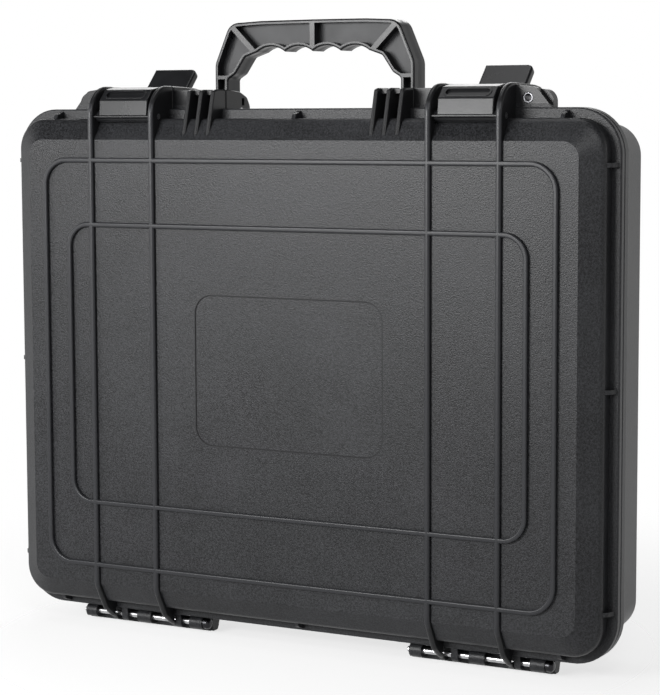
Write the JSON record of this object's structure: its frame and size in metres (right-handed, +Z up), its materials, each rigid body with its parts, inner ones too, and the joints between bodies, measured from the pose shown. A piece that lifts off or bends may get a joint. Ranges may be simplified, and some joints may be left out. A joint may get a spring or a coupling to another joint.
{
  "type": "portable tool case",
  "caption": "Hard-shell portable tool case with a ribbed hinged lid, two lever latches, padlock lugs and a fold-down carry handle.",
  "frame": {"origin": "middle of the standing case's footprint, on the surface that it stands on", "axes": "+X across the width, -Y towards the lid that faces the viewer, +Z up through the handle"},
  "size_m": [0.459, 0.097, 0.4272],
  "materials": {
    "shell_plastic": "black moulded plastic with a fine leather-like grain",
    "trim_plastic": "smooth black moulded plastic with a soft shine",
    "seal_rubber": "black soft rubber",
    "pin_steel": "bright steel rod",
    "eyelet_steel": "bright rolled metal eyelet"
  },
  "bodies": {
    "base": {"rear_shell": "shell_plastic", "hinge_pin_left": "pin_steel", "hinge_pin_right": "pin_steel", "handle_pin_left": "pin_steel", "handle_pin_right": "pin_steel", "base_eyelet_left": "eyelet_steel", "base_eyelet_right": "eyelet_steel"},
    "lid": {"front_shell": "shell_plastic", "lid_seal": "seal_rubber", "lid_eyelet_left": "eyelet_steel", "lid_eyelet_right": "eyelet_steel", "latch_front_pin_left": "pin_steel", "latch_front_pin_right": "pin_steel"},
    "carry_handle": {"handle": "trim_plastic"},
    "cover_left": {"latch_cover_left": "trim_plastic", "latch_lever_pin_left": "pin_steel"},
    "lever_left": {"latch_lever_left": "trim_plastic"},
    "cover_right": {"latch_cover_right": "trim_plastic", "latch_lever_pin_right": "pin_steel"},
    "lever_right": {"latch_lever_right": "trim_plastic"}
  },
  "joints": [
    {"name": "lid_hinge", "type": "hinge", "parent": "base", "child": "lid", "pos_m": [0, -0.021, 0.0066], "axis": [1, 0, 0], "range_deg": [0, 100]},
    {"name": "handle_pivot", "type": "hinge", "parent": "base", "child": "carry_handle", "pos_m": [0, 0.0002, 0.3661], "axis": [-1, 0, 0], "range_deg": [0, 78]},
    {"name": "latch_swing_left", "type": "hinge", "parent": "lid", "child": "cover_left", "pos_m": [0, -0.0398, 0.3624], "axis": [1, 0, 0], "range_deg": [0, 75]},
    {"name": "lever_lift_left", "type": "hinge", "parent": "cover_left", "child": "lever_left", "pos_m": [0, 0.0085, 0.3741], "axis": [1, 0, 0], "range_deg": [0, 60]},
    {"name": "latch_swing_right", "type": "hinge", "parent": "lid", "child": "cover_right", "pos_m": [0, -0.0398, 0.3624], "axis": [1, 0, 0], "range_deg": [0, 75]},
    {"name": "lever_lift_right", "type": "hinge", "parent": "cover_right", "child": "lever_right", "pos_m": [0, 0.0085, 0.3741], "axis": [1, 0, 0], "range_deg": [0, 60]}
  ]
}
